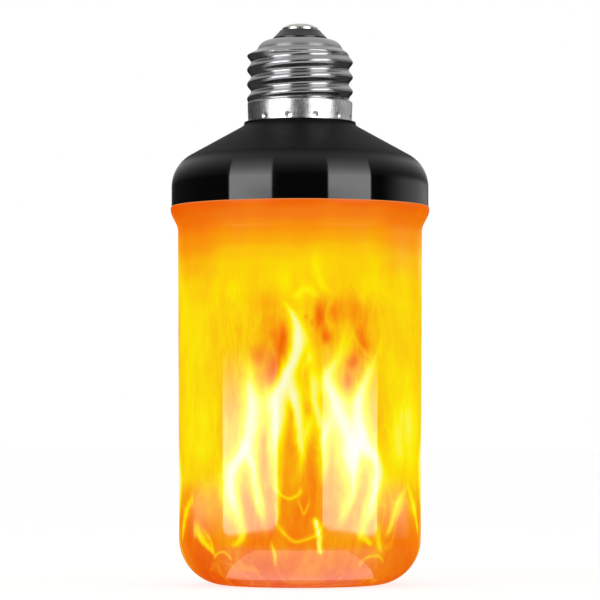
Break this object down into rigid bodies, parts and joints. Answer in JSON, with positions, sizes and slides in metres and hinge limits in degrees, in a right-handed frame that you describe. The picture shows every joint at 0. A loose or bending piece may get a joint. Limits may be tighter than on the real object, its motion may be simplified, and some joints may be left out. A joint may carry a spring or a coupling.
{
  "type": "flame effect led bulb",
  "caption": "Tubular flame-effect LED bulb with a frosted amber diffuser, gloss black collar and nickel screw base, standing base up on its flat head.",
  "frame": {"origin": "middle of the diffuser's flat head, on the surface it stands on", "axes": "+Z along the bulb's axis from the head to the centre contact; -Y faces the viewer"},
  "size_m": [0.0638, 0.0638, 0.1382],
  "materials": {
    "frosted_diffuser": "glossy outside over a frosted translucent wall, lit from inside by the flame pattern",
    "black_moulding": "mould-polished gloss black",
    "nickel_shell": "bright nickel plate, rolled and lightly drawn",
    "dark_insulator": "dark moulded resin",
    "tinned_contact": "tinned brass rivet",
    "white_moulding": "matt white moulding",
    "white_flex": "white solder mask on a flexible board",
    "green_board": "green solder mask on glass-fibre board",
    "capacitor_sleeve": "shrunk plastic sleeve on an aluminium can",
    "capacitor_film": "dipped resin",
    "choke_core": "ferrite drum in dark sleeve",
    "resistor_coating": "matt cement coating with tinned legs",
    "chip_resin": "black moulding compound with tinned legs",
    "switch_can": "gold-flashed can",
    "red_insulation": "soft insulation",
    "blue_insulation": "soft insulation",
    "led_phosphor": "white package with a yellow phosphor window"
  },
  "bodies": {
    "root": {"diffuser": "frosted_diffuser", "collar": "black_moulding", "screw_shell": "nickel_shell", "insulator": "dark_insulator", "centre_contact": "tinned_contact", "led_former": "white_moulding", "flex_board": "white_flex", "driver_board": "green_board", "smoothing_capacitor": "capacitor_sleeve", "film_capacitor": "capacitor_film", "choke": "choke_core", "fuse_resistor": "resistor_coating", "bridge_rectifier": "chip_resin", "regulator_chip": "chip_resin", "flame_controller": "chip_resin", "tilt_switch": "switch_can", "live_lead": "red_insulation", "neutral_lead": "blue_insulation", "led_row_1": "led_phosphor", "led_row_2": "led_phosphor", "led_row_3": "led_phosphor", "led_row_4": "led_phosphor", "led_row_5": "led_phosphor", "led_row_6": "led_phosphor", "led_row_7": "led_phosphor", "led_row_8": "led_phosphor", "led_row_9": "led_phosphor", "led_row_10": "led_phosphor", "led_row_11": "led_phosphor"}
  },
  "joints": []
}
